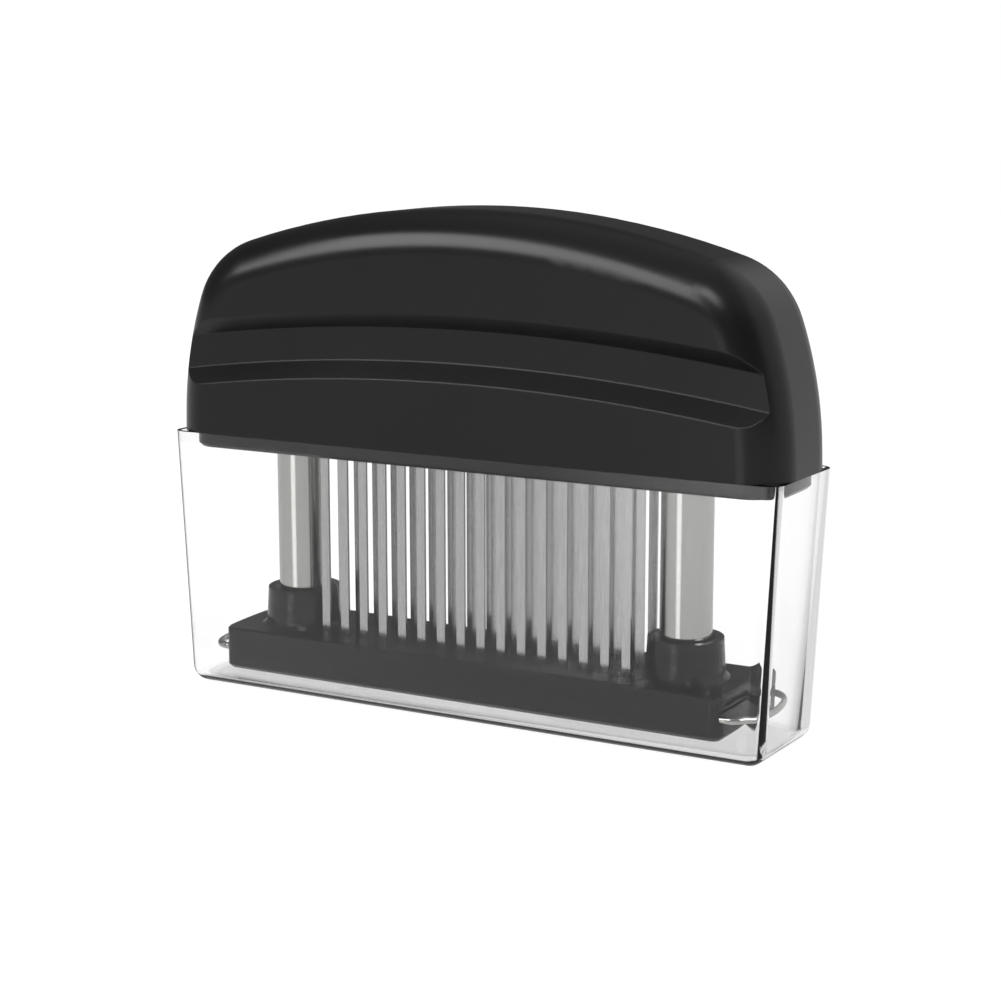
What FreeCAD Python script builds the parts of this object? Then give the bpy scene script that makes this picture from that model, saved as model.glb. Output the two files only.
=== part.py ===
import FreeCAD, Part
import math
import os
from FreeCAD import Vector

os.makedirs("parts", exist_ok=True)

# Blade meat tenderizer, standing in its clear storage cover.
# Millimetres, +Z up, X along the handle, origin at the middle of the cover's underside.

# Handle shell
handle_length = 147.4
handle_width = 29.8
handle_roof_radius = 191.0
handle_shoulder_radius = 19.4
handle_side_radius = 86.0
handle_foot_draft = 1.5
handle_foot_height = 4.0
handle_edge_radius = 9.0
handle_wall = 3.4
cavity_edge_chamfer = 3.6

# Curved grip recess on both faces of the handle
grip_depth = 3.0
grip_curve_radius = 480.0
grip_ledge_height = 15.5
grip_ledge_rise = 3.8
grip_band_width = 7.0
grip_brow_rise = 3.4
grip_wall = 2.6

# Clear cover, which leans outwards to a rim under the handle
cover_height = 57.6
cover_wall = 1.4
cover_floor = 1.6
cover_end_lean = 3.0
cover_side_lean = 0.3
cover_rim_inset = 0.2
cover_corner_radius = 5.0
cover_floor_chamfer = 2.2

# Carrier plate closing the handle
carrier_side_gap = 1.3
carrier_corner_radius = 6.5
carrier_drop = 3.5
carrier_rise = 3.0
carrier_clearance = 0.2
carrier_edge_chamfer = 0.7

# Knives and the bars that hold them
knife_count = 16
knife_width = 2.0
knife_thickness = 0.6
knife_post_gap = 4.1
knife_set_back = 2.1
knife_point_length = 3.0
knife_edge_flat = 0.15
cartridge_height = 7.0
cartridge_gap = 1.2
cartridge_side_wall = 3.0
cartridge_end_wall = 1.1
cartridge_floor = 2.1
cartridge_grip_depth = 5.5
cartridge_clearance = 0.15
knife_fit = 0.04
clamp_thickness = 2.0
clamp_overhang = 0.6
clamp_gap = 0.1

# Steel posts, the sleeves that guide them and their stop nuts
post_end_inset = 13.0
post_diameter = 11.2
post_wall = 0.8
post_running_fit = 0.08
sleeve_wall = 1.5
sleeve_rise = 3.7
nut_rim = 1.2
nut_thickness = 0.9
nut_fit = 0.02
nut_seat_gap = 0.02
post_end_above_nut = 1.0

# Guard plate
guard_end_room = 8.1
guard_side_gap = 0.5
guard_thickness = 9.4
guard_gap_below = 2.5
guard_end_bulge = 0.8
guard_corner_radius = 2.6
guard_top_edge = 0.45
guard_bottom_edge = 0.8
guard_slot_clearance = 0.35
guard_channel_width = 3.6
guard_channel_depth = 1.3
end_groove_height = 0.7
end_groove_depth = 0.7
end_groove_drop = 2.8
boss_height = 8.4
boss_wall = 2.5
boss_taper = 0.5
boss_foot_flare = 0.9
boss_lead_in_depth = 1.2
boss_lead_in_width = 0.85
boss_sink = 2.4
boss_fit = 0.12
boss_stop_gap = 1.4

# Post feet and the wire clips that lock them
foot_shoulder = 2.4
foot_side_wall = 1.5
foot_height = 6.2
foot_recess = 0.2
foot_clearance = 0.15
spigot_height = 5.0
spigot_fit = 0.03
clip_wire_diameter = 1.5
clip_wire_sides = 10
clip_bite = 0.2
clip_rise = 4.5
clip_foot_gap = 0.05
clip_leg_overrun = 2.2
clip_bend_radius = 3.2
clip_bow_radius = 46.0
clip_fit = 0.08

# Springs and the seats in the handle's roof
stroke_reserve = 0.3
seat_height = 1.78
seat_spigot_gap = 0.18
seat_spigot_length = 5.0
spring_wire_diameter = 1.3
spring_turns = 6
spring_wire_sides = 4
spring_side_gap = 0.35
spring_end_gap = 0.02

# Ribs in the handle
rib_offset = 26.0
rib_thickness = 2.0

row_sides = {"front": -1, "middle": 0, "rear": 1}
side_signs = {"left": -1, "right": 1}
cut_margin = 1.0
match_tolerance = 1e-4

# Lengths and widths that follow from the sizes above
cover_rim_length = handle_length
cover_foot_length = cover_rim_length - 2 * cover_end_lean
cover_rim_width = handle_width - 2 * cover_rim_inset
cover_foot_width = cover_rim_width - 2 * cover_side_lean
carrier_length = cover_rim_length - 2 * (cover_wall + carrier_side_gap)
carrier_width = cover_rim_width - 2 * (cover_wall + carrier_side_gap)
guard_length = cover_foot_length - 2 * (cover_wall + guard_end_room)
guard_width = cover_foot_width - 2 * (cover_wall + guard_side_gap)
post_x = guard_length / 2 - post_end_inset
post_radius = post_diameter / 2
post_bore_radius = post_radius - post_wall
knife_span = 2 * (post_x - post_radius - knife_post_gap)
knife_pitch = (knife_span - knife_width) / (knife_count - 1)
row_count = len(row_sides)
bars_width = carrier_width - 2 * cartridge_side_wall - (row_count - 1) * cartridge_gap
cartridge_width = bars_width / row_count
knife_row_spacing = cartridge_width + cartridge_gap
cartridge_length = knife_span + 2 * cartridge_end_wall
nut_width = post_diameter + 2 * nut_rim
boss_rim_radius = post_radius + boss_wall
boss_foot_radius = boss_rim_radius + boss_taper
foot_length = post_diameter + 2 * foot_shoulder
foot_width = guard_width - 2 * foot_side_wall
clip_leg_spacing = foot_width - 2 * clip_bite
clip_leg_end = post_x - foot_length / 2 - clip_leg_overrun
clip_reach = cover_foot_length / 2 - cover_wall - clip_foot_gap - clip_wire_diameter / 2
coil_radius = post_bore_radius - spring_side_gap - spring_wire_diameter / 2
seat_width = 2 * post_bore_radius
seat_spigot_width = math.sqrt(2) * (coil_radius - spring_wire_diameter / 2 - seat_spigot_gap)

# Heights that follow from the sizes above
seam_z = cover_height
carrier_bottom_z = seam_z - carrier_drop
carrier_top_z = seam_z + carrier_rise
guard_bottom_z = cover_floor + guard_gap_below
guard_top_z = guard_bottom_z + guard_thickness
boss_top_z = guard_top_z + boss_height
guard_stroke = carrier_bottom_z - boss_top_z - boss_stop_gap
sleeve_top_z = carrier_top_z + sleeve_rise
nut_bottom_z = sleeve_top_z + nut_seat_gap
post_top_z = nut_bottom_z + nut_thickness + post_end_above_nut
foot_bottom_z = guard_bottom_z + foot_recess
foot_top_z = foot_bottom_z + foot_height
post_bottom_z = foot_top_z
clip_z = guard_bottom_z + clip_rise
knife_tip_z = guard_bottom_z + knife_set_back
cartridge_bottom_z = carrier_bottom_z + cartridge_floor
cartridge_top_z = cartridge_bottom_z + cartridge_height
knife_top_z = cartridge_bottom_z + cartridge_grip_depth
clamp_top_z = cartridge_top_z + clamp_thickness
grip_ledge_z = seam_z + grip_ledge_height
grip_band_bottom_z = grip_ledge_z + grip_ledge_rise
grip_band_top_z = grip_band_bottom_z + grip_band_width
grip_brow_z = grip_band_top_z + grip_brow_rise

# The roof clears the posts at the end of their stroke
seat_z = post_top_z + guard_stroke + stroke_reserve
inner_roof_radius = handle_roof_radius - handle_wall
roof_drop = handle_roof_radius - math.sqrt(inner_roof_radius ** 2 - post_x ** 2)
handle_top_z = seat_z + seat_height + roof_drop

row_positions = {name: side * knife_row_spacing for name, side in row_sides.items()}


def save(name, shape):
    shape.exportStep("parts/" + name + ".step")
    print(name, len(shape.Solids), "solids", round(shape.Volume, 1), "mm3", shape.isValid())


def cylinder(radius, z_low, z_high, x=0.0, y=0.0):
    return Part.makeCylinder(radius, z_high - z_low, Vector(x, y, z_low))


def centred_box(length, width, z_low, z_high, x=0.0, y=0.0):
    corner = Vector(x - length / 2, y - width / 2, z_low)
    return Part.makeBox(length, width, z_high - z_low, corner)


def upright_edges(shape):
    return [edge for edge in shape.Edges if edge.BoundBox.ZLength > match_tolerance]


def edges_at_height(shape, z):
    return [edge for edge in shape.Edges
            if abs(edge.BoundBox.ZMin - z) < match_tolerance and edge.BoundBox.ZLength < match_tolerance]


def rounded_plate(length, width, radius, z_low, z_high):
    plate = centred_box(length, width, z_low, z_high)
    return plate.makeFillet(radius, upright_edges(plate))


def tapered_block(foot_length, foot_width, rim_length, rim_width, z_low, z_high, radius):
    """Block with leaning walls and rounded uprights, and the edges round its foot."""
    block = Part.makeWedge(
        -foot_length / 2, z_low, -foot_width / 2, -rim_width / 2, -rim_length / 2,
        foot_length / 2, z_high, foot_width / 2, rim_width / 2, rim_length / 2)
    block.rotate(Vector(0, 0, 0), Vector(1, 0, 0), 90)
    block = block.makeFillet(radius, upright_edges(block))
    return block, edges_at_height(block, z_low)


def make_cover():
    """Open tray with leaning walls and rounded lower edges."""
    outside, foot_edges = tapered_block(
        cover_foot_length, cover_foot_width, cover_rim_length, cover_rim_width,
        0, cover_height, cover_corner_radius)
    outside = outside.makeFillet(cover_corner_radius, foot_edges)
    spread_x = (cover_rim_length - cover_foot_length) * cover_floor / cover_height
    spread_y = (cover_rim_width - cover_foot_width) * cover_floor / cover_height
    inside, floor_edges = tapered_block(
        cover_foot_length + spread_x - 2 * cover_wall, cover_foot_width + spread_y - 2 * cover_wall,
        cover_rim_length - 2 * cover_wall, cover_rim_width - 2 * cover_wall,
        cover_floor, cover_height, cover_corner_radius - cover_wall)
    inside = inside.makeChamfer(cover_floor_chamfer, floor_edges)
    return outside.cut(inside)


def point_on_arc(centre, radius, angle):
    return centre + Vector(math.cos(angle), 0, math.sin(angle)) * radius


def tangent_circle_centre(first, first_reach, second, second_reach):
    """Upper one of the two points that lie at the given reaches from two centres."""
    between = second - first
    apart = between.Length
    along = (first_reach ** 2 - second_reach ** 2 + apart ** 2) / (2 * apart)
    aside = math.sqrt(first_reach ** 2 - along ** 2)
    direction = between / apart
    normal = Vector(-direction.z, 0, direction.x)
    foot = first + direction * along
    return max(foot + normal * aside, foot - normal * aside, key=lambda point: point.z)


def handle_outline(inset, z_low):
    """Front outline of the handle, moved inwards by inset, as a face at y = 0.

    Each side is a straight foot and a wide arc; a tight shoulder arc joins it to the roof arc.
    """
    draft = math.radians(handle_foot_draft)
    outward = Vector(math.cos(draft), 0, math.sin(draft))
    up_side = Vector(-math.sin(draft), 0, math.cos(draft))
    foot = Vector(handle_length / 2, 0, seam_z)
    side_start = foot + up_side * handle_foot_height
    side_centre = side_start - outward * handle_side_radius
    roof_centre = Vector(0, 0, handle_top_z - handle_roof_radius)
    shoulder_centre = tangent_circle_centre(
        side_centre, handle_side_radius - handle_shoulder_radius,
        roof_centre, handle_roof_radius - handle_shoulder_radius)
    to_shoulder = shoulder_centre - side_centre
    side_end_angle = math.atan2(to_shoulder.z, to_shoulder.x)
    to_roof = shoulder_centre - roof_centre
    roof_angle = math.atan2(to_roof.z, to_roof.x)

    side_radius = handle_side_radius - inset
    shoulder_radius = handle_shoulder_radius - inset
    roof_radius = handle_roof_radius - inset
    side_low = point_on_arc(side_centre, side_radius, draft)
    side_middle = point_on_arc(side_centre, side_radius, (draft + side_end_angle) / 2)
    side_high = point_on_arc(side_centre, side_radius, side_end_angle)
    shoulder_middle = point_on_arc(
        shoulder_centre, shoulder_radius, (side_end_angle + roof_angle) / 2)
    shoulder_high = point_on_arc(shoulder_centre, shoulder_radius, roof_angle)
    crown = point_on_arc(roof_centre, roof_radius, math.pi / 2)
    inset_foot = side_low - up_side * ((side_low.z - z_low) / up_side.z)

    def mirrored(point):
        return Vector(-point.x, point.y, point.z)

    edges = [
        Part.LineSegment(mirrored(inset_foot), inset_foot).toShape(),
        Part.LineSegment(inset_foot, side_low).toShape(),
        Part.Arc(side_low, side_middle, side_high).toShape(),
        Part.Arc(side_high, shoulder_middle, shoulder_high).toShape(),
        Part.Arc(shoulder_high, crown, mirrored(shoulder_high)).toShape(),
        Part.Arc(mirrored(shoulder_high), mirrored(shoulder_middle), mirrored(side_high)).toShape(),
        Part.Arc(mirrored(side_high), mirrored(side_middle), mirrored(side_low)).toShape(),
        Part.LineSegment(mirrored(side_low), mirrored(inset_foot)).toShape(),
    ]
    return Part.Face(Part.Wire(edges))


def dome(inset, z_low):
    """Handle form moved inwards by inset, and the outline edges of its two faces."""
    half_width = handle_width / 2 - inset
    face = handle_outline(inset, z_low)
    face.translate(Vector(0, -half_width, 0))
    block = face.extrude(Vector(0, 2 * half_width, 0))
    outline_edges = []
    for edge in block.Edges:
        box = edge.BoundBox
        on_face = box.YLength < match_tolerance
        on_foot = box.ZMax - z_low < match_tolerance
        if on_face and not on_foot:
            outline_edges.append(edge)
    return block, outline_edges


def grip_cutter(thicken):
    """Curved bar that cuts the front grip recess, its floor moved inwards by thicken."""
    face_y = handle_width / 2
    floor_y = face_y - grip_depth - thicken
    outer_y = face_y + cut_margin
    brow_slope = (grip_brow_z - grip_band_top_z) / grip_depth
    ledge_slope = (grip_band_bottom_z - grip_ledge_z) / grip_depth
    run = outer_y - floor_y
    corners = [
        Vector(0, -outer_y, grip_band_bottom_z - ledge_slope * run),
        Vector(0, -floor_y, grip_band_bottom_z),
        Vector(0, -floor_y, grip_band_top_z),
        Vector(0, -outer_y, grip_band_top_z + brow_slope * run),
    ]
    face = Part.Face(Part.makePolygon(corners + corners[:1]))
    centre = Vector(0, 0, (grip_brow_z + grip_ledge_z) / 2 - grip_curve_radius)
    sweep = 2 * math.degrees(math.asin((handle_length / 2 + cut_margin) / grip_curve_radius))
    face.rotate(centre, Vector(0, 1, 0), -sweep / 2)
    return face.revolve(centre, Vector(0, 1, 0), sweep)


def turned_about_z(shape):
    copy = shape.copy()
    copy.rotate(Vector(0, 0, 0), Vector(0, 0, 1), 180)
    return copy


def make_handle():
    """Moulded shell: rounded dome, two grip recesses, ribs and spring seats."""
    block, outline_edges = dome(0, seam_z)
    outside = block.makeFillet(handle_edge_radius, outline_edges)
    front_recess = grip_cutter(0)
    outside = outside.cut([front_recess, turned_about_z(front_recess)])

    block, outline_edges = dome(handle_wall, seam_z - cut_margin)
    cavity = block.makeChamfer(cavity_edge_chamfer, outline_edges)
    front_backing = grip_cutter(grip_wall)
    cavity = cavity.cut([front_backing, turned_about_z(front_backing)])
    pocket = rounded_plate(
        carrier_length + 2 * carrier_clearance, carrier_width + 2 * carrier_clearance,
        carrier_corner_radius + carrier_clearance, seam_z - cut_margin, carrier_top_z)

    inner_solids = []
    for rib_x in (-rib_offset, 0, rib_offset):
        inner_solids.append(centred_box(
            rib_thickness, handle_width, clamp_top_z + clamp_gap, handle_top_z, rib_x))
    for sign in side_signs.values():
        inner_solids.append(centred_box(
            seat_width, seat_width, seat_z, handle_top_z, sign * post_x))
        inner_solids.append(centred_box(
            seat_spigot_width, seat_spigot_width, seat_z - seat_spigot_length, handle_top_z,
            sign * post_x))
    for solid in inner_solids:
        cavity = cavity.cut(solid)
    return outside.cut([cavity, pocket])


def make_carrier():
    """Plate in the foot of the handle, with pockets for the knife bars and sleeves that guide the posts."""
    plate = rounded_plate(
        carrier_length, carrier_width, carrier_corner_radius, carrier_bottom_z, carrier_top_z)
    plate = plate.makeChamfer(carrier_edge_chamfer, edges_at_height(plate, carrier_bottom_z))
    for sign in side_signs.values():
        plate = plate.fuse(cylinder(
            post_radius + post_running_fit + sleeve_wall, carrier_bottom_z + sleeve_wall,
            sleeve_top_z, sign * post_x))
    cuts = []
    for row_y in row_positions.values():
        cuts.append(centred_box(
            cartridge_length + 2 * cartridge_clearance, cartridge_width + 2 * cartridge_clearance,
            cartridge_bottom_z, carrier_top_z + cut_margin, 0, row_y))
        cuts.append(centred_box(
            knife_span + 2 * guard_slot_clearance, knife_thickness + 2 * guard_slot_clearance,
            carrier_bottom_z - cut_margin, cartridge_bottom_z + cut_margin, 0, row_y))
    for sign in side_signs.values():
        cuts.append(cylinder(
            post_radius + post_running_fit, carrier_bottom_z - cut_margin,
            sleeve_top_z + cut_margin, sign * post_x))
    return plate.cut(cuts)


def knife_positions():
    first = -(knife_count - 1) * knife_pitch / 2
    return [first + index * knife_pitch for index in range(knife_count)]


def make_knife(x, y):
    """One flat knife with a skew chisel point, ground on its front face."""
    half = knife_width / 2
    outline = [
        Vector(-half, 0, knife_top_z),
        Vector(half, 0, knife_top_z),
        Vector(half, 0, knife_tip_z + knife_point_length),
        Vector(-half + knife_edge_flat, 0, knife_tip_z),
        Vector(-half, 0, knife_tip_z),
    ]
    blank = Part.Face(Part.makePolygon(outline + outline[:1]))
    blank.translate(Vector(x, y - knife_thickness / 2, 0))
    knife = blank.extrude(Vector(0, knife_thickness, 0))
    grind = [
        Vector(0, -knife_thickness, knife_tip_z + knife_point_length),
        Vector(0, -knife_thickness / 2, knife_tip_z + knife_point_length),
        Vector(0, knife_thickness / 2 - knife_edge_flat, knife_tip_z - knife_edge_flat),
        Vector(0, -knife_thickness, knife_tip_z - knife_edge_flat),
    ]
    wedge = Part.Face(Part.makePolygon(grind + grind[:1]))
    wedge.translate(Vector(x - knife_width, y, 0))
    return knife.cut(wedge.extrude(Vector(2 * knife_width, 0, 0)))


def make_knives(row_y):
    return Part.makeCompound([make_knife(x, row_y) for x in knife_positions()])


def make_cartridge(row_y):
    """Moulded bar that grips the heads of one row of knives."""
    bar = centred_box(cartridge_length, cartridge_width, cartridge_bottom_z, cartridge_top_z, 0, row_y)
    pockets = []
    for x in knife_positions():
        pockets.append(centred_box(
            knife_width + 2 * knife_fit, knife_thickness + 2 * knife_fit,
            cartridge_bottom_z - cut_margin, knife_top_z, x, row_y))
    return bar.cut(pockets)


def make_clamp():
    """Flat plate that holds the three knife bars down in the carrier."""
    length = cartridge_length - 2 * clamp_overhang
    width = 2 * knife_row_spacing + cartridge_width + 2 * clamp_overhang
    return rounded_plate(length, width, clamp_thickness, cartridge_top_z, clamp_top_z)


def make_post(sign):
    """Steel tube."""
    x = sign * post_x
    tube = cylinder(post_radius, post_bottom_z, post_top_z, x)
    return tube.cut(cylinder(post_bore_radius, post_bottom_z - cut_margin, post_top_z + cut_margin, x))


def make_stop_nut(sign):
    """Square push-on nut that grips a post above its sleeve and keeps it from dropping out."""
    x = sign * post_x
    nut = centred_box(nut_width, nut_width, nut_bottom_z, nut_bottom_z + nut_thickness, x)
    return nut.cut(cylinder(post_radius + nut_fit, nut_bottom_z - cut_margin, post_top_z, x))


def make_guard():
    """Guard plate with 48 knife slots, two post bosses and pockets for the post feet."""
    half_x = guard_length / 2
    half_y = guard_width / 2
    corners = [
        Vector(-half_x, -half_y, guard_bottom_z),
        Vector(half_x, -half_y, guard_bottom_z),
        Vector(half_x, half_y, guard_bottom_z),
        Vector(-half_x, half_y, guard_bottom_z),
    ]
    end_right = Vector(half_x + guard_end_bulge, 0, guard_bottom_z)
    end_left = Vector(-half_x - guard_end_bulge, 0, guard_bottom_z)
    outline = Part.Wire([
        Part.LineSegment(corners[0], corners[1]).toShape(),
        Part.Arc(corners[1], end_right, corners[2]).toShape(),
        Part.LineSegment(corners[2], corners[3]).toShape(),
        Part.Arc(corners[3], end_left, corners[0]).toShape(),
    ])
    plate = Part.Face(outline).extrude(Vector(0, 0, guard_thickness))
    plate = plate.makeFillet(guard_corner_radius, upright_edges(plate))
    plate = plate.makeChamfer(guard_top_edge, edges_at_height(plate, guard_top_z))
    plate = plate.makeChamfer(guard_bottom_edge, edges_at_height(plate, guard_bottom_z))

    bosses = [make_boss(sign) for sign in side_signs.values()]
    plate = plate.fuse(bosses)

    cuts = []
    for row_y in row_positions.values():
        for x in knife_positions():
            cuts.append(centred_box(
                knife_width + 2 * guard_slot_clearance, knife_thickness + 2 * guard_slot_clearance,
                guard_bottom_z - cut_margin, guard_top_z + cut_margin, x, row_y))
        cuts.append(centred_box(
            cartridge_length, guard_channel_width, guard_bottom_z - cut_margin,
            guard_bottom_z + guard_channel_depth, 0, row_y))
    groove_low = guard_top_z - end_groove_drop - end_groove_height
    for sign in side_signs.values():
        x = sign * post_x
        cuts.append(cylinder(post_radius + boss_fit, guard_bottom_z, boss_top_z + cut_margin, x))
        cuts.append(centred_box(
            foot_length + 2 * foot_clearance, foot_width + 2 * foot_clearance,
            guard_bottom_z - cut_margin, foot_top_z, x))
        cuts.append(centred_box(
            2 * (end_groove_depth + guard_end_bulge), 2 * guard_width, groove_low,
            groove_low + end_groove_height, sign * (half_x + guard_end_bulge)))
        cuts.extend(clip_channels(sign))
    return plate.cut(cuts)


def make_boss(sign):
    """Tapered collar round a post, flared at its foot and with a lead-in at its rim."""
    bore = post_radius + boss_fit
    slope = (boss_foot_radius - boss_rim_radius) / boss_height
    points = [
        Vector(bore, 0, guard_top_z - boss_sink),
        Vector(boss_foot_radius + boss_foot_flare, 0, guard_top_z - boss_sink),
        Vector(boss_foot_radius + boss_foot_flare, 0, guard_top_z),
        Vector(boss_foot_radius - slope * boss_foot_flare, 0, guard_top_z + boss_foot_flare),
        Vector(boss_rim_radius, 0, boss_top_z),
        Vector(bore + boss_lead_in_width, 0, boss_top_z),
        Vector(bore, 0, boss_top_z - boss_lead_in_depth),
    ]
    profile = Part.Face(Part.makePolygon(points + points[:1]))
    boss = profile.revolve(Vector(0, 0, 0), Vector(0, 0, 1), 360)
    boss.translate(Vector(sign * post_x, 0, 0))
    return boss


def clip_channels(sign):
    """Square channels for the two legs of one wire clip."""
    channels = []
    low = clip_leg_end - clip_fit
    high = guard_length / 2 + guard_end_bulge + cut_margin
    half = clip_wire_diameter / 2 + clip_fit
    for side in (-1, 1):
        channels.append(centred_box(
            high - low, 2 * half, clip_z - half, clip_z + half,
            sign * (low + high) / 2, side * clip_leg_spacing / 2))
    return channels


def make_foot(sign):
    """Foot of a post: a block with side grooves for the clip and a spigot for the tube."""
    x = sign * post_x
    block = centred_box(foot_length, foot_width, foot_bottom_z, foot_top_z, x)
    spigot = cylinder(post_bore_radius - spigot_fit, foot_top_z - cut_margin, foot_top_z + spigot_height, x)
    return block.fuse(spigot).removeSplitter().cut(clip_channels(sign))


def wire_section(diameter, sides, start, heading):
    """Regular outline of a wire, square to its heading, with few sides to keep it light."""
    corners = []
    for index in range(sides):
        angle = 2 * math.pi * (index + 0.5) / sides
        corners.append(Vector(math.cos(angle), math.sin(angle), 0) * (diameter / 2))
    outline = Part.makePolygon(corners + corners[:1])
    outline.Placement = FreeCAD.Placement(start, FreeCAD.Rotation(Vector(0, 0, 1), heading))
    return outline


def make_clip(sign):
    """Bent wire: two straight legs joined by a bowed loop outside the guard plate."""
    half = clip_leg_spacing / 2
    bow_centre = clip_reach - clip_bow_radius
    inner = clip_bow_radius - clip_bend_radius
    bend_y = half - clip_bend_radius
    bend_x = bow_centre + math.sqrt(inner ** 2 - bend_y ** 2)
    bow_angle = math.atan2(bend_y, bend_x - bow_centre)
    bend_middle = (bow_angle + math.pi / 2) / 2

    def point(x, y):
        return Vector(sign * x, y, clip_z)

    def bend(angle, side):
        return point(bend_x + clip_bend_radius * math.cos(angle),
                     side * (bend_y + clip_bend_radius * math.sin(angle)))

    path = Part.Wire([
        Part.LineSegment(point(clip_leg_end, -half), bend(math.pi / 2, -1)).toShape(),
        Part.Arc(bend(math.pi / 2, -1), bend(bend_middle, -1), bend(bow_angle, -1)).toShape(),
        Part.Arc(bend(bow_angle, -1), point(clip_reach, 0), bend(bow_angle, 1)).toShape(),
        Part.Arc(bend(bow_angle, 1), bend(bend_middle, 1), bend(math.pi / 2, 1)).toShape(),
        Part.LineSegment(bend(math.pi / 2, 1), point(clip_leg_end, half)).toShape(),
    ])
    section = wire_section(
        clip_wire_diameter, clip_wire_sides, point(clip_leg_end, -half), Vector(sign, 0, 0))
    return path.makePipeShell([section], True, False)


def make_spring(sign):
    """Coil spring inside a post, from the foot's spigot up to the seat in the handle's roof."""
    x = sign * post_x
    wire_radius = spring_wire_diameter / 2
    low = foot_top_z + spigot_height + spring_end_gap + wire_radius
    high = seat_z - spring_end_gap - wire_radius
    half_turns = 2 * spring_turns
    climb = (high - low) / half_turns
    edges = []
    for index in range(half_turns):
        angles = [math.pi * (index + share) for share in (0, 0.5, 1)]
        points = []
        for angle in angles:
            points.append(Vector(
                x + coil_radius * math.cos(angle), coil_radius * math.sin(angle),
                low + climb * angle / math.pi))
        edges.append(Part.Arc(*points).toShape())
    path = Part.Wire(edges)
    start = edges[0].valueAt(edges[0].FirstParameter)
    heading = edges[0].tangentAt(edges[0].FirstParameter)
    section = wire_section(spring_wire_diameter, spring_wire_sides, start, heading)
    coil = path.makePipeShell([section], True, False)
    print("least gap between turns", round(2 * climb - spring_wire_diameter, 2), "mm")
    return coil


save("clear_cover", make_cover())
save("handle_shell", make_handle())
save("carrier_plate", make_carrier())
save("cartridge_clamp", make_clamp())
for row_name, row_y in row_positions.items():
    save("knives_" + row_name, make_knives(row_y))
    save("knife_cartridge_" + row_name, make_cartridge(row_y))
save("guard_plate", make_guard())
for side_name, sign in side_signs.items():
    save("post_" + side_name, make_post(sign))
    save("stop_nut_" + side_name, make_stop_nut(sign))
    save("post_foot_" + side_name, make_foot(sign))
    save("wire_clip_" + side_name, make_clip(sign))
save("springs", Part.makeCompound([make_spring(sign) for sign in side_signs.values()]))
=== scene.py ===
import math
import bpy
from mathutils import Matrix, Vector


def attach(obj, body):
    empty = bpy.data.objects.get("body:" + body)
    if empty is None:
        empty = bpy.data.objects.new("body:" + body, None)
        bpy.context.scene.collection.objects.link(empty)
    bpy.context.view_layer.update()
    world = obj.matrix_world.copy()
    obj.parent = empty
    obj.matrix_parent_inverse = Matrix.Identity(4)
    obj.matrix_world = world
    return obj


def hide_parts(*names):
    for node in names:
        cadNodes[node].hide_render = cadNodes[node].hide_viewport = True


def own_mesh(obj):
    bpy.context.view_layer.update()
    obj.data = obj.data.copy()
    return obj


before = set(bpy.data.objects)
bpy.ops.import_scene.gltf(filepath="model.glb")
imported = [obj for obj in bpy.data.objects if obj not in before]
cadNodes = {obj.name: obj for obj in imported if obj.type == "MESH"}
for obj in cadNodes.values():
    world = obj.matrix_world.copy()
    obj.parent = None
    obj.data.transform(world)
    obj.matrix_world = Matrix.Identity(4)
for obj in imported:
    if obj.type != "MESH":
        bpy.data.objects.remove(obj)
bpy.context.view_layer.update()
print("stage: frame loaded,", len(cadNodes), "nodes")


def linearColour(hexText, alpha=1.0):
    # sRGB hex to the linear values that Blender's sockets take
    values = []
    for start in (0, 2, 4):
        part = int(hexText[start:start + 2], 16) / 255
        values.append(part / 12.92 if part <= 0.04045 else ((part + 0.055) / 1.055) ** 2.4)
    return (*values, alpha)


def perMetre(millimetres):
    # a noise texture on Object coordinates repeats about once per this many millimetres
    return 1000.0 / millimetres


def addNode(material, kind, settings=None, sockets=None):
    # a socket given as another node's output is linked, anything else is set
    tree = material.node_tree
    node = tree.nodes.new(kind)
    for name, value in (settings or {}).items():
        setattr(node, name, value)
    for name, value in (sockets or {}).items():
        if isinstance(value, bpy.types.NodeSocket):
            tree.links.new(value, node.inputs[name])
        else:
            node.inputs[name].default_value = value
    return node


noiseSpread = (0.3, 0.7)  # between these a noise texture has nearly all its values
edgeSamples = 6


def emptyMaterial(name):
    material = bpy.data.materials.new(name)
    material.use_nodes = True
    material.node_tree.nodes.clear()
    return material


# ABS, injection moulded in a finely spark-eroded tool: near black, with a soft wide highlight and
# faint handling marks
blackAbs = {
    "colour": "0d0d0d", "dustColour": "131313", "ior": 1.38,
    "roughness": (0.22, 0.28), "grainMm": 0.30, "grainHeightMm": 0.003,
    "bumpStrength": 0.25, "handlingMm": 38.0, "edgeRadiusMm": 0.45,
}


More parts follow.
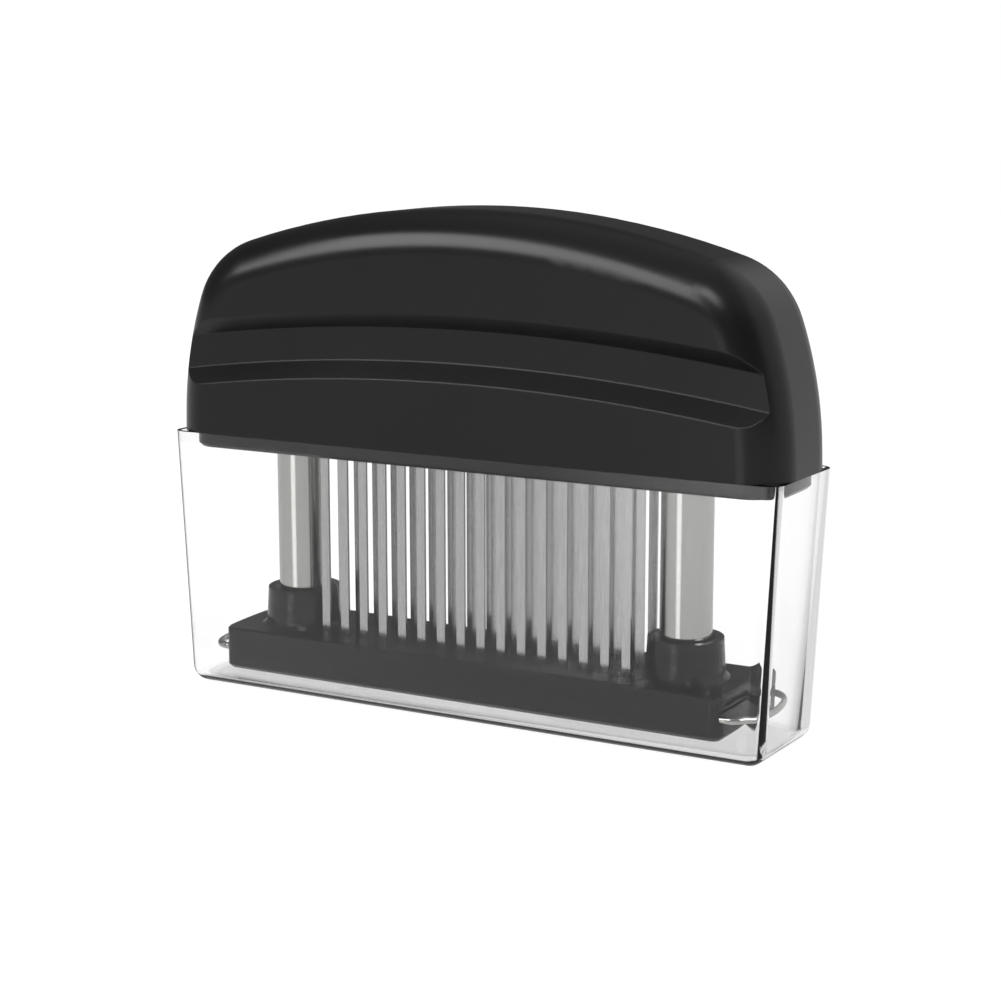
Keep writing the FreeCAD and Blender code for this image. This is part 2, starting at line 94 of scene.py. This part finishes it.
def makeBlackAbs(settings):
    material = emptyMaterial("satinBlackAbs")
    place = addNode(material, "ShaderNodeTexCoord").outputs["Object"]
    handling = addNode(material, "ShaderNodeTexNoise", {}, {
        "Vector": place, "Scale": perMetre(settings["handlingMm"]), "Detail": 3.0, "Roughness": 0.55})
    colour = addNode(material, "ShaderNodeMix", {"data_type": "RGBA"}, {
        "Factor": handling.outputs["Fac"],
        "A": linearColour(settings["colour"]), "B": linearColour(settings["dustColour"])})
    gloss = addNode(material, "ShaderNodeMapRange", {}, {
        "Value": handling.outputs["Fac"], "From Min": noiseSpread[0], "From Max": noiseSpread[1],
        "To Min": settings["roughness"][0], "To Max": settings["roughness"][1]})
    grain = addNode(material, "ShaderNodeTexNoise", {}, {
        "Vector": place, "Scale": perMetre(settings["grainMm"]), "Detail": 2.0})
    edges = addNode(material, "ShaderNodeBevel", {"samples": edgeSamples}, {
        "Radius": settings["edgeRadiusMm"] / 1000})
    bump = addNode(material, "ShaderNodeBump", {}, {
        "Height": grain.outputs["Fac"], "Strength": settings["bumpStrength"],
        "Distance": settings["grainHeightMm"] / 1000, "Normal": edges.outputs["Normal"]})
    shader = addNode(material, "ShaderNodeBsdfPrincipled", {}, {
        "Base Color": colour.outputs[2], "Roughness": gloss.outputs["Result"],
        "IOR": settings["ior"], "Normal": bump.outputs["Normal"]})
    addNode(material, "ShaderNodeOutputMaterial", {}, {"Surface": shader.outputs["BSDF"]})
    return material


# ABS, moulded in a polished tool: off black, glossy enough to mirror the knives
greyAbs = {
    "colour": "101010", "ior": 1.36, "roughness": (0.03, 0.06),
    "flowMm": 24.0, "edgeRadiusMm": 0.15,
}


def makeGreyAbs(settings):
    material = emptyMaterial("glossyGreyAbs")
    place = addNode(material, "ShaderNodeTexCoord").outputs["Object"]
    flow = addNode(material, "ShaderNodeTexNoise", {}, {
        "Vector": place, "Scale": perMetre(settings["flowMm"]), "Detail": 2.0})
    gloss = addNode(material, "ShaderNodeMapRange", {}, {
        "Value": flow.outputs["Fac"], "From Min": noiseSpread[0], "From Max": noiseSpread[1],
        "To Min": settings["roughness"][0], "To Max": settings["roughness"][1]})
    edges = addNode(material, "ShaderNodeBevel", {"samples": edgeSamples}, {
        "Radius": settings["edgeRadiusMm"] / 1000})
    shader = addNode(material, "ShaderNodeBsdfPrincipled", {}, {
        "Base Color": linearColour(settings["colour"]), "Roughness": gloss.outputs["Result"],
        "IOR": settings["ior"], "Normal": edges.outputs["Normal"]})
    addNode(material, "ShaderNodeOutputMaterial", {}, {"Surface": shader.outputs["BSDF"]})
    return material


# Acetal, moulded: black, slightly waxy
blackAcetal = {
    "colour": "191919", "ior": 1.48, "roughness": 0.45,
    "speckMm": 1.2, "speckHeightMm": 0.01, "bumpStrength": 0.2,
}


def makeBlackAcetal(settings):
    material = emptyMaterial("mouldedBlackAcetal")
    place = addNode(material, "ShaderNodeTexCoord").outputs["Object"]
    speck = addNode(material, "ShaderNodeTexNoise", {}, {
        "Vector": place, "Scale": perMetre(settings["speckMm"]), "Detail": 2.0})
    bump = addNode(material, "ShaderNodeBump", {}, {
        "Height": speck.outputs["Fac"], "Strength": settings["bumpStrength"],
        "Distance": settings["speckHeightMm"] / 1000})
    shader = addNode(material, "ShaderNodeBsdfPrincipled", {}, {
        "Base Color": linearColour(settings["colour"]), "Roughness": settings["roughness"],
        "IOR": settings["ior"], "Normal": bump.outputs["Normal"]})
    addNode(material, "ShaderNodeOutputMaterial", {}, {"Surface": shader.outputs["BSDF"]})
    return material


# Steel in several finishes: its streaks follow the way it was rolled or drawn
steelBump = 0.3
steels = {
    "rolledKnifeSteel": {"colours": ("bababa", "cacac9"), "roughness": (0.14, 0.22),
                         "streakMm": (0.5, 0.9, 6.0), "heightMm": 0.002},
    "drawnPostSteel": {"colours": ("b4b4b1", "c4c4c1"), "roughness": (0.08, 0.14),
                       "streakMm": (0.5, 0.5, 9.0), "heightMm": 0.001},
    "drawnWireSteel": {"colours": ("b0b0ae", "c4c4c2"), "roughness": (0.12, 0.20),
                       "streakMm": (2.0, 2.0, 2.0), "heightMm": 0.001},
    "oiledSpringSteel": {"colours": ("5c5b58", "767470"), "roughness": (0.28, 0.40),
                         "streakMm": (1.0, 1.0, 1.0), "heightMm": 0.002},
}


def makeSteel(name, settings):
    material = emptyMaterial(name)
    place = addNode(material, "ShaderNodeTexCoord").outputs["Object"]
    scaled = addNode(material, "ShaderNodeMapping", {}, {
        "Vector": place, "Scale": tuple(perMetre(size) for size in settings["streakMm"])})
    streaks = addNode(material, "ShaderNodeTexNoise", {}, {
        "Vector": scaled.outputs["Vector"], "Scale": 1.0, "Detail": 4.0, "Roughness": 0.6})
    colour = addNode(material, "ShaderNodeMix", {"data_type": "RGBA"}, {
        "Factor": streaks.outputs["Fac"],
        "A": linearColour(settings["colours"][0]), "B": linearColour(settings["colours"][1])})
    gloss = addNode(material, "ShaderNodeMapRange", {}, {
        "Value": streaks.outputs["Fac"], "From Min": noiseSpread[0], "From Max": noiseSpread[1],
        "To Min": settings["roughness"][0], "To Max": settings["roughness"][1]})
    bump = addNode(material, "ShaderNodeBump", {}, {
        "Height": streaks.outputs["Fac"], "Strength": steelBump, "Distance": settings["heightMm"] / 1000})
    shader = addNode(material, "ShaderNodeBsdfPrincipled", {}, {
        "Base Color": colour.outputs[2], "Metallic": 1.0,
        "Roughness": gloss.outputs["Result"], "Normal": bump.outputs["Normal"]})
    addNode(material, "ShaderNodeOutputMaterial", {}, {"Surface": shader.outputs["BSDF"]})
    return material


# Polystyrene, injection moulded in a polished tool: water clear, dark only where its walls turn edge on
clearStyrene = {
    "colour": "fdfdfd", "ior": 1.50, "mirrorTint": "cdcdcd",  # walls that mirror the studio only weakly
    "roughness": 0.0, "rippleMm": 45.0, "rippleHeightMm": 0.01, "bumpStrength": 0.2,
}


def makeClearStyrene(settings):
    material = emptyMaterial("clearPolystyrene")
    place = addNode(material, "ShaderNodeTexCoord").outputs["Object"]
    ripple = addNode(material, "ShaderNodeTexNoise", {}, {
        "Vector": place, "Scale": perMetre(settings["rippleMm"]), "Detail": 1.0})
    bump = addNode(material, "ShaderNodeBump", {}, {
        "Height": ripple.outputs["Fac"], "Strength": settings["bumpStrength"],
        "Distance": settings["rippleHeightMm"] / 1000})
    shader = addNode(material, "ShaderNodeBsdfPrincipled", {}, {
        "Base Color": linearColour(settings["colour"]), "Transmission Weight": 1.0,
        "Specular Tint": linearColour(settings["mirrorTint"]),
        "Roughness": settings["roughness"], "IOR": settings["ior"], "Normal": bump.outputs["Normal"]})
    addNode(material, "ShaderNodeOutputMaterial", {}, {"Surface": shader.outputs["BSDF"]})
    return material


finishes = {
    "blackAbs": makeBlackAbs(blackAbs),
    "greyAbs": makeGreyAbs(greyAbs),
    "blackAcetal": makeBlackAcetal(blackAcetal),
    "clearStyrene": makeClearStyrene(clearStyrene),
}
for steelName, steelSettings in steels.items():
    finishes[steelName] = makeSteel(steelName, steelSettings)
print("stage: materials made,", len(finishes))

finishOfNode = {
    "clear_cover": "clearStyrene",
    "handle_shell": "blackAbs",
    "carrier_plate": "greyAbs",
    "cartridge_clamp": "greyAbs",
    "guard_plate": "greyAbs",
    "springs": "oiledSpringSteel",
}
for row in ("front", "middle", "rear"):
    finishOfNode["knives_" + row] = "rolledKnifeSteel"
    finishOfNode["knife_cartridge_" + row] = "blackAcetal"
for side in ("left", "right"):
    finishOfNode["post_" + side] = "drawnPostSteel"
    finishOfNode["stop_nut_" + side] = "oiledSpringSteel"
    finishOfNode["post_foot_" + side] = "blackAcetal"
    finishOfNode["wire_clip_" + side] = "drawnWireSteel"
for nodeName, finishName in finishOfNode.items():
    mesh = cadNodes[nodeName].data
    mesh.materials.clear()
    mesh.materials.append(finishes[finishName])
print("stage: nodes painted")


# Bent wire clip: two straight legs and a bowed loop, all of one round wire
wireClip = {
    "wireMm": 1.5, "ringPoints": 20, "bendSteps": 12, "bowSteps": 28, "smoothAngle": 40,
    "legSpacingMm": 21.6, "heightMm": 8.6, "reachMm": 66.8, "legEndMm": 38.0,
    "bendRadiusMm": 4.5, "bowRadiusMm": 30.0,
}


def makeWireClip(settings):
    wireRadius = settings["wireMm"] / 2000
    halfSpacing = settings["legSpacingMm"] / 2000
    height = settings["heightMm"] / 1000
    legEnd = settings["legEndMm"] / 1000
    bendRadius = settings["bendRadiusMm"] / 1000
    bowRadius = settings["bowRadiusMm"] / 1000
    bowCentre = settings["reachMm"] / 1000 - bowRadius
    bendY = halfSpacing - bendRadius
    bendX = bowCentre + math.sqrt((bowRadius - bendRadius) ** 2 - bendY ** 2)
    bowAngle = math.atan2(bendY, bendX - bowCentre)

    bpy.ops.object.select_all(action="DESELECT")
    bpy.ops.mesh.primitive_circle_add(
        vertices=settings["ringPoints"], radius=wireRadius, fill_type="NGON",
        location=(legEnd, -halfSpacing, height), rotation=(0, math.pi / 2, 0))
    clip = bpy.context.object
    bpy.ops.object.transform_apply(location=True, rotation=True, scale=True)
    bpy.ops.object.mode_set(mode="EDIT")
    bpy.ops.mesh.select_all(action="SELECT")
    bpy.ops.mesh.extrude_region_move(TRANSFORM_OT_translate={"value": (bendX - legEnd, 0, 0)})
    turns = (  # steps, angle and centre of each arc; spin turns clockwise for a positive angle
        (settings["bendSteps"], bowAngle - math.pi / 2, (bendX, -bendY, height)),
        (settings["bowSteps"], -2 * bowAngle, (bowCentre, 0, height)),
        (settings["bendSteps"], bowAngle - math.pi / 2, (bendX, bendY, height)),
    )
    for steps, angle, centre in turns:
        bpy.ops.mesh.spin(steps=steps, angle=angle, center=centre, axis=(0, 0, 1))
    bpy.ops.mesh.extrude_region_move(TRANSFORM_OT_translate={"value": (legEnd - bendX, 0, 0)})
    bpy.ops.mesh.select_all(action="SELECT")
    bpy.ops.mesh.normals_make_consistent(inside=False)
    bpy.ops.object.mode_set(mode="OBJECT")
    bpy.ops.object.shade_smooth_by_angle(angle=math.radians(settings["smoothAngle"]))
    clip.data.materials.append(finishes["drawnWireSteel"])
    return clip


rightClip = makeWireClip(wireClip)
rightClip.name = "drawn_wire_right"
leftClip = rightClip.copy()
leftClip.data = rightClip.data.copy()
leftClip.name = "drawn_wire_left"
bpy.context.scene.collection.objects.link(leftClip)
bpy.ops.object.select_all(action="DESELECT")
leftClip.select_set(True)
bpy.context.view_layer.objects.active = leftClip
leftClip.rotation_euler = (0, 0, math.pi)
bpy.ops.object.transform_apply(location=True, rotation=True, scale=True)
for piece, nodeName in ((rightClip, "wire_clip_right"), (leftClip, "wire_clip_left")):
    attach(piece, "guard")
    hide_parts(nodeName)
print("stage: wire clips made")


# Clear cover: an open box, wide rounds outside and tight corners inside, which turn dark edge on
clearCover = {
    "rimMm": (147.4, 29.4), "footMm": (141.4, 28.8), "heightMm": 57.6, "wallMm": 1.4, "floorMm": 1.6,
    "outerRadiusMm": 3.6, "outerSteps": 10, "innerRadiusMm": 0.7, "innerSteps": 4,
    "overrunMm": 2.0, "smoothAngle": 35,
}


def taperedBlock(name, foot, rim, low, high, radius, steps):
    # sizes in millimetres; all edges but the rim's are rounded
    middle = (low + high) / 2000
    bpy.ops.object.select_all(action="DESELECT")
    bpy.ops.mesh.primitive_cube_add(
        size=0.001, location=(0, 0, middle), scale=(rim[0], rim[1], high - low))
    block = bpy.context.object
    block.name = name
    bpy.ops.object.transform_apply(location=True, rotation=True, scale=True)
    bpy.ops.object.mode_set(mode="EDIT")
    bpy.ops.mesh.select_mode(type="VERT")
    bpy.ops.mesh.select_all(action="DESELECT")
    bpy.ops.object.mode_set(mode="OBJECT")
    for vertex in block.data.vertices:
        vertex.select = vertex.co.z < middle
    bpy.ops.object.mode_set(mode="EDIT")
    bpy.ops.transform.resize(
        value=(foot[0] / rim[0], foot[1] / rim[1], 1), center_override=(0, 0, low / 1000))
    bpy.ops.mesh.select_mode(type="EDGE")
    bpy.ops.mesh.select_all(action="DESELECT")
    bpy.ops.object.mode_set(mode="OBJECT")
    corners = block.data.vertices
    for edge in block.data.edges:
        edge.select = min(corners[index].co.z for index in edge.vertices) < middle
    bpy.ops.object.mode_set(mode="EDIT")
    bpy.ops.mesh.bevel(offset=radius / 1000, segments=steps, affect="EDGES")
    bpy.ops.object.mode_set(mode="OBJECT")
    return block


def makeClearCover(settings):
    rim, foot, height = settings["rimMm"], settings["footMm"], settings["heightMm"]
    wall, floor, overrun = settings["wallMm"], settings["floorMm"], settings["overrunMm"]
    cover = taperedBlock(
        "styrene_box", foot, rim, 0, height, settings["outerRadiusMm"], settings["outerSteps"])
    spreads = [(wide - narrow) / height for wide, narrow in zip(rim, foot)]
    insideFoot = [narrow + spread * floor - 2 * wall for narrow, spread in zip(foot, spreads)]
    insideRim = [wide + spread * overrun - 2 * wall for wide, spread in zip(rim, spreads)]
    inside = taperedBlock(
        "styrene_core", insideFoot, insideRim, floor, height + overrun,
        settings["innerRadiusMm"], settings["innerSteps"])
    bpy.ops.object.select_all(action="DESELECT")
    cover.select_set(True)
    bpy.context.view_layer.objects.active = cover
    hollow = cover.modifiers.new("hollow", "BOOLEAN")
    hollow.operation = "DIFFERENCE"
    hollow.solver = "EXACT"
    hollow.object = inside
    bpy.ops.object.modifier_apply(modifier=hollow.name)
    bpy.data.objects.remove(inside)
    bpy.ops.object.shade_smooth_by_angle(angle=math.radians(settings["smoothAngle"]))
    cover.data.materials.clear()
    cover.data.materials.append(finishes["clearStyrene"])
    return cover


styreneBox = makeClearCover(clearCover)
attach(styreneBox, "cover")
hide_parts("clear_cover")
print("stage: clear cover made,", len(styreneBox.data.polygons), "faces")


# Two coil springs inside the posts: each is wound from the post foot up to the handle's roof
coilSprings = {
    "postXMm": 48.2, "coilRadiusMm": 3.8, "wireMm": 1.3, "ringPoints": 10, "turns": 6, "stepsPerTurn": 20,
    "footMm": 15.52, "topMm": 97.30, "strokeMm": 30.8, "smoothAngle": 50,
}


def makeCoilSprings(settings):
    wireRadius = settings["wireMm"] / 2000
    postX = settings["postXMm"] / 1000
    foot, top = settings["footMm"] / 1000, settings["topMm"] / 1000
    bpy.ops.object.select_all(action="DESELECT")
    bpy.ops.mesh.primitive_circle_add(
        vertices=settings["ringPoints"], radius=wireRadius, fill_type="NOTHING",
        location=(settings["coilRadiusMm"] / 1000, 0, foot + wireRadius), rotation=(math.pi / 2, 0, 0))
    coils = bpy.context.object
    coils.name = "wound_springs"
    bpy.ops.object.transform_apply(location=True, rotation=True, scale=True)
    winding = coils.modifiers.new("winding", "SCREW")
    winding.axis = "Z"
    winding.angle = 2 * math.pi * settings["turns"]
    winding.screw_offset = top - foot - 2 * wireRadius
    winding.steps = winding.render_steps = settings["turns"] * settings["stepsPerTurn"]
    bpy.ops.object.modifier_apply(modifier=winding.name)
    bpy.ops.object.mode_set(mode="EDIT")
    bpy.ops.mesh.select_all(action="SELECT")
    bpy.ops.mesh.fill_holes(sides=0)
    bpy.ops.mesh.select_all(action="SELECT")
    bpy.ops.mesh.normals_make_consistent(inside=False)
    bpy.ops.transform.translate(value=(postX, 0, 0))
    bpy.ops.mesh.duplicate_move(TRANSFORM_OT_translate={"value": (-2 * postX, 0, 0)})
    bpy.ops.object.mode_set(mode="OBJECT")
    bpy.ops.object.shade_smooth_by_angle(angle=math.radians(settings["smoothAngle"]))
    coils.data.materials.append(finishes["oiledSpringSteel"])
    return coils


woundSprings = makeCoilSprings(coilSprings)
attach(woundSprings, "handle")
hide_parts("springs")
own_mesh(woundSprings)
print("stage: springs made,", len(woundSprings.data.polygons), "faces")


# Floor, white world and soft lamps
studio = {
    "floorSize": 30.0, "floorDrop": 0.0003, "floorColour": "ffffff",
    "floorGlow": 0.92, "floorShare": 0.25,  # its own light, and the share of it that takes shadows
    "fillStrength": 0.35, "throughCover": 1.08,
}

# what shiny faces mirror: a dim room above, brighter to the back right, white paper below, and light patches
surroundings = {
    "horizon": (-0.06, 0.06), "above": 0.10, "below": 0.72,
    "backRight": ((45.0, 15.0), (35.0, 62.0), 0.60),
    "patches": {  # direction in degrees, where it is full and where it ends, strength
        "lowWindow": ((-101.0, -10.5), (3.0, 14.0), 1.15),
        "highWindow": ((-88.0, 41.0), (5.0, 13.0), 7.0),
        "ceiling": ((0.0, 80.0), (20.0, 60.0), 0.34),
    },
}


def sortRays(owner):
    # straight rays reach the camera directly or through clear plastic, shiny ones by way of a mirror
    rays = addNode(owner, "ShaderNodeLightPath").outputs
    seen = addNode(owner, "ShaderNodeMath", {"operation": "MAXIMUM"}, {
        0: rays["Is Camera Ray"], 1: rays["Is Transmission Ray"]})
    bounces = addNode(owner, "ShaderNodeMath", {"operation": "ADD"}, {
        0: rays["Glossy Depth"], 1: rays["Diffuse Depth"]})
    direct = addNode(owner, "ShaderNodeMath", {"operation": "LESS_THAN"}, {0: bounces.outputs[0], 1: 0.5})
    straight = addNode(owner, "ShaderNodeMath", {"operation": "MULTIPLY"}, {
        0: seen.outputs[0], 1: direct.outputs[0]})
    shiny = addNode(owner, "ShaderNodeMath", {"operation": "GREATER_THAN"}, {
        0: rays["Glossy Depth"], 1: rays["Diffuse Depth"]})
    return straight.outputs[0], shiny.outputs[0], rays["Is Transmission Ray"]


def makeFloor(settings):
    bpy.ops.object.select_all(action="DESELECT")
    bpy.ops.mesh.primitive_plane_add(size=settings["floorSize"], location=(0, 0, -settings["floorDrop"]))
    floor = bpy.context.object
    floor.name = "floor"
    material = emptyMaterial("whitePaper")
    diffuse = addNode(material, "ShaderNodeBsdfDiffuse", {}, {
        "Color": linearColour(settings["floorColour"])})
    glow = addNode(material, "ShaderNodeEmission", {}, {
        "Strength": settings["floorGlow"] / (1 - settings["floorShare"])})
    straight, shiny, _ = sortRays(material)
    share = addNode(material, "ShaderNodeMath", {"operation": "MULTIPLY"}, {
        0: straight, 1: 1 - settings["floorShare"]})
    lit = addNode(material, "ShaderNodeMixShader", {}, {
        0: share.outputs[0], 1: diffuse.outputs[0], 2: glow.outputs[0]})
    clear = addNode(material, "ShaderNodeBsdfTransparent")
    mixed = addNode(material, "ShaderNodeMixShader", {}, {
        0: shiny, 1: lit.outputs[0], 2: clear.outputs[0]})
    addNode(material, "ShaderNodeOutputMaterial", {}, {"Surface": mixed.outputs[0]})
    floor.data.materials.append(material)


def directionTo(azimuth, elevation):
    azimuth = math.radians(azimuth)
    elevation = math.radians(elevation)
    level = math.cos(elevation)
    return (level * math.cos(azimuth), level * math.sin(azimuth), math.sin(elevation))


def lightLobe(world, outward, towards, widths):
    # a round patch: full within the first angle of its middle, gone past the second
    facing = addNode(world, "ShaderNodeVectorMath", {"operation": "DOT_PRODUCT"}, {
        0: outward, 1: directionTo(*towards)})
    lobe = addNode(world, "ShaderNodeMapRange", {"interpolation_type": "SMOOTHSTEP"}, {
        "Value": facing.outputs["Value"],
        "From Min": math.cos(math.radians(widths[1])), "From Max": math.cos(math.radians(widths[0]))})
    return lobe.outputs["Result"]


def makeWorld(settings, around):
    world = bpy.data.worlds.new("whiteStudio")
    bpy.context.scene.world = world
    world.use_nodes = True
    world.node_tree.nodes.clear()
    outward = addNode(world, "ShaderNodeTexCoord").outputs["Generated"]
    height = addNode(world, "ShaderNodeSeparateXYZ", {}, {"Vector": outward}).outputs["Z"]
    towards, widths, strength = around["backRight"]
    above = addNode(world, "ShaderNodeMath", {"operation": "MULTIPLY_ADD"}, {
        0: lightLobe(world, outward, towards, widths), 1: strength, 2: around["above"]})
    room = addNode(world, "ShaderNodeMapRange", {"interpolation_type": "SMOOTHSTEP"}, {
        "Value": height, "From Min": around["horizon"][0], "From Max": around["horizon"][1],
        "To Min": around["below"], "To Max": above.outputs[0]})
    mirrored = room.outputs["Result"]
    for towards, widths, strength in around["patches"].values():
        patched = addNode(world, "ShaderNodeMath", {"operation": "MULTIPLY_ADD"}, {
            0: lightLobe(world, outward, towards, widths), 1: strength, 2: mirrored})
        mirrored = patched.outputs[0]
    straight, shiny, through = sortRays(world)
    bounced = addNode(world, "ShaderNodeMix", {"data_type": "FLOAT"}, {
        0: shiny, 2: settings["fillStrength"], 3: mirrored})
    backdrop = addNode(world, "ShaderNodeMix", {"data_type": "FLOAT"}, {
        0: through, 2: 1.0, 3: settings["throughCover"]})
    shown = addNode(world, "ShaderNodeMix", {"data_type": "FLOAT"}, {
        0: straight, 2: bounced.outputs[0], 3: backdrop.outputs[0]})
    background = addNode(world, "ShaderNodeBackground", {}, {
        "Color": linearColour("ffffff"), "Strength": shown.outputs[0]})
    addNode(world, "ShaderNodeOutputWorld", {}, {"Surface": background.outputs[0]})


# direction in degrees, distance, width and height in metres, watts, and whether shiny faces show it
lamps = {
    "frontLeftSoftbox": ((-121.0, 29.0), 0.80, (0.62, 0.38), 4.6, True),
    "topSoftbox": ((-70.0, 80.0), 0.80, (0.50, 0.30), 2.0, False),
    "rightSoftbox": ((-5.0, 25.0), 0.80, (0.40, 0.50), 2.0, False),
}
lampAim = (0, 0, 0.08)


def makeLamps(settings):
    for name, (towards, distance, size, watts, mirrored) in settings.items():
        lamp = bpy.data.lights.new(name, "AREA")
        lamp.shape = "RECTANGLE"
        lamp.size = size[0]
        lamp.size_y = size[1]
        lamp.energy = watts
        holder = bpy.data.objects.new(name, lamp)
        away = Vector(directionTo(*towards)) * distance
        holder.location = Vector(lampAim) + away
        holder.rotation_euler = (-away).to_track_quat("-Z", "Y").to_euler()
        holder.visible_glossy = mirrored
        bpy.context.scene.collection.objects.link(holder)


# the photograph's view, solved from the object's own straight edges
photoCamera = {
    "place": (0.24606, -0.42124, 0.13663), "azimuth": 29.958, "elevation": 10.520,
    "focalPixels": 2306.4, "imagePixels": 1001, "sensorMm": 36.0,
}


def makeCamera(settings):
    lens = bpy.data.cameras.new("photoCamera")
    lens.sensor_width = settings["sensorMm"]
    lens.lens = settings["sensorMm"] * settings["focalPixels"] / settings["imagePixels"]
    camera = bpy.data.objects.new("photoCamera", lens)
    camera.location = settings["place"]
    camera.rotation_euler = (
        math.radians(90 - settings["elevation"]), 0, math.radians(settings["azimuth"]))
    bpy.context.scene.collection.objects.link(camera)
    bpy.context.scene.camera = camera


makeFloor(studio)
makeWorld(studio, surroundings)
makeLamps(lamps)
makeCamera(photoCamera)
bpy.context.scene.view_settings.view_transform = "Standard"
print("stage: studio ready")
